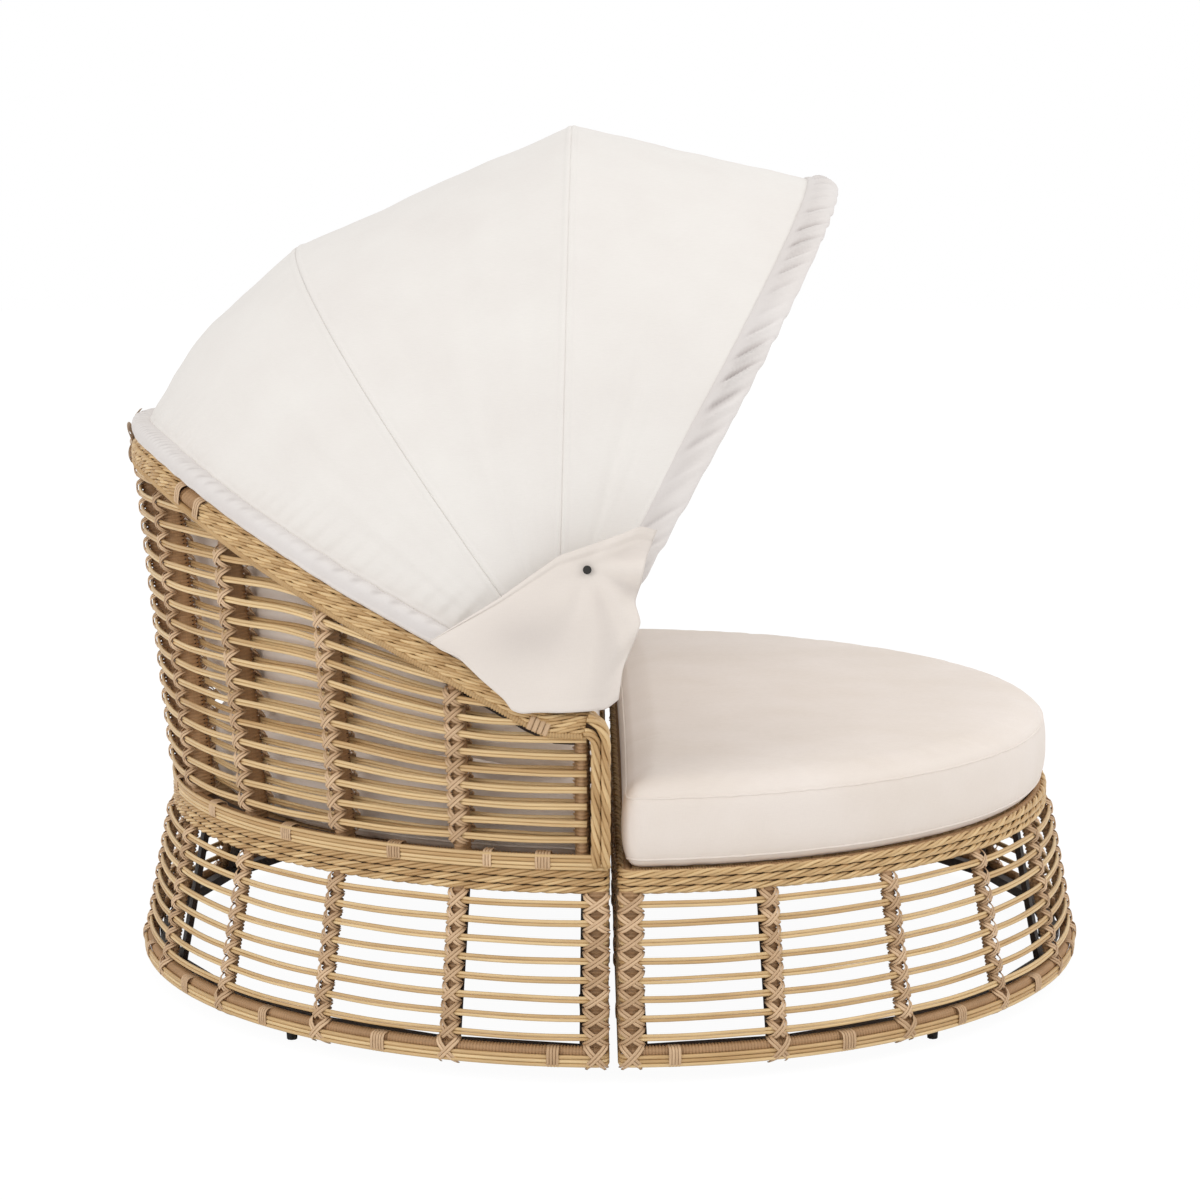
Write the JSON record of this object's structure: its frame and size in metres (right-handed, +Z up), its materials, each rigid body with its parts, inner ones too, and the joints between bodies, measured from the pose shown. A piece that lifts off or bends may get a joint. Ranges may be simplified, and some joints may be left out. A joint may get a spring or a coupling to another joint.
{
  "type": "outdoor daybed with folding canopy",
  "caption": "Round garden daybed of lashed cane: a half-moon seat with a sloping woven back and a folding cloth canopy, and a half-moon ottoman that pulls away.",
  "frame": {"origin": "on the ground under the middle of the whole bed, closed and with the canopy up", "axes": "+X from the back wall towards the ottoman, +Y towards the far arm of the seat, +Z up"},
  "size_m": [1.8038, 1.799, 1.5704],
  "materials": {
    "cane": "satin",
    "lashed_cane": "satin",
    "braid": "satin",
    "frame_steel": "satin",
    "bow_tube": "satin",
    "foot_plastic": "matte",
    "deck_board": "matte",
    "cushion_cloth": "matte",
    "canopy_cloth": "matte",
    "ribbon_cloth": "matte"
  },
  "bodies": {
    "seat_half": {"seat_base_frame": "frame_steel", "seat_deck": "deck_board", "seat_bottom_rim": "cane", "seat_top_band": "braid", "seat_base_weave_split": "lashed_cane", "seat_base_weave_near": "lashed_cane", "seat_base_weave_back": "lashed_cane", "seat_base_weave_far": "lashed_cane", "seat_foot_near": "foot_plastic", "seat_foot_far": "foot_plastic", "seat_foot_back": "foot_plastic", "seat_foot_split_near": "foot_plastic", "seat_foot_split_far": "foot_plastic", "seat_cushion": "cushion_cloth", "back_frame": "frame_steel", "back_wall_rail": "cane", "back_rim_braid": "braid", "back_outer_weave_near": "lashed_cane", "back_inner_weave_near": "lashed_cane", "back_pillow_near": "cushion_cloth", "back_outer_weave_back": "lashed_cane", "back_inner_weave_back": "lashed_cane", "back_pillow_back": "cushion_cloth", "back_outer_weave_far": "lashed_cane", "back_inner_weave_far": "lashed_cane", "back_pillow_far": "cushion_cloth", "hub_bracket_near": "frame_steel", "pivot_bolt_near": "frame_steel", "hub_cover_near": "canopy_cloth", "cover_bolt_near": "foot_plastic", "hub_bracket_far": "frame_steel", "pivot_bolt_far": "frame_steel", "hub_cover_far": "canopy_cloth", "cover_bolt_far": "foot_plastic", "rear_hem_roll": "canopy_cloth", "rear_tie": "ribbon_cloth", "canopy_rear_gore": "canopy_cloth"},
    "rear_bow": {"rear_bow": "bow_tube", "canopy_middle_gore": "canopy_cloth"},
    "middle_bow": {"middle_bow": "bow_tube", "canopy_front_gore": "canopy_cloth"},
    "front_bow": {"front_bow": "bow_tube", "front_hem": "canopy_cloth"},
    "ottoman": {"ottoman_base_frame": "frame_steel", "ottoman_deck": "deck_board", "ottoman_bottom_rim": "cane", "ottoman_top_band": "braid", "ottoman_base_weave_split": "lashed_cane", "ottoman_base_weave_far": "lashed_cane", "ottoman_base_weave_end": "lashed_cane", "ottoman_base_weave_near": "lashed_cane", "ottoman_foot_near": "foot_plastic", "ottoman_foot_far": "foot_plastic", "ottoman_foot_end": "foot_plastic", "ottoman_foot_split_near": "foot_plastic", "ottoman_foot_split_far": "foot_plastic", "ottoman_cushion": "cushion_cloth"}
  },
  "joints": [
    {"name": "rear_bow_fold", "type": "hinge", "parent": "seat_half", "child": "rear_bow", "pos_m": [-0.08812, 0, 0.66793], "axis": [0, -1, 0], "range_deg": [0, 24], "deforming": ["canopy_rear_gore"]},
    {"name": "middle_bow_fold", "type": "hinge", "parent": "rear_bow", "child": "middle_bow", "pos_m": [-0.08812, 0, 0.66793], "axis": [0, -1, 0], "range_deg": [0, 34], "deforming": ["canopy_middle_gore"]},
    {"name": "front_bow_fold", "type": "hinge", "parent": "middle_bow", "child": "front_bow", "pos_m": [-0.08812, 0, 0.66793], "axis": [0, -1, 0], "range_deg": [0, 25], "deforming": ["canopy_front_gore"]},
    {"name": "ottoman_slide", "type": "slide", "parent": "seat_half", "child": "ottoman", "axis": [1, 0, 0], "range_m": [0, 0.9]}
  ]
}
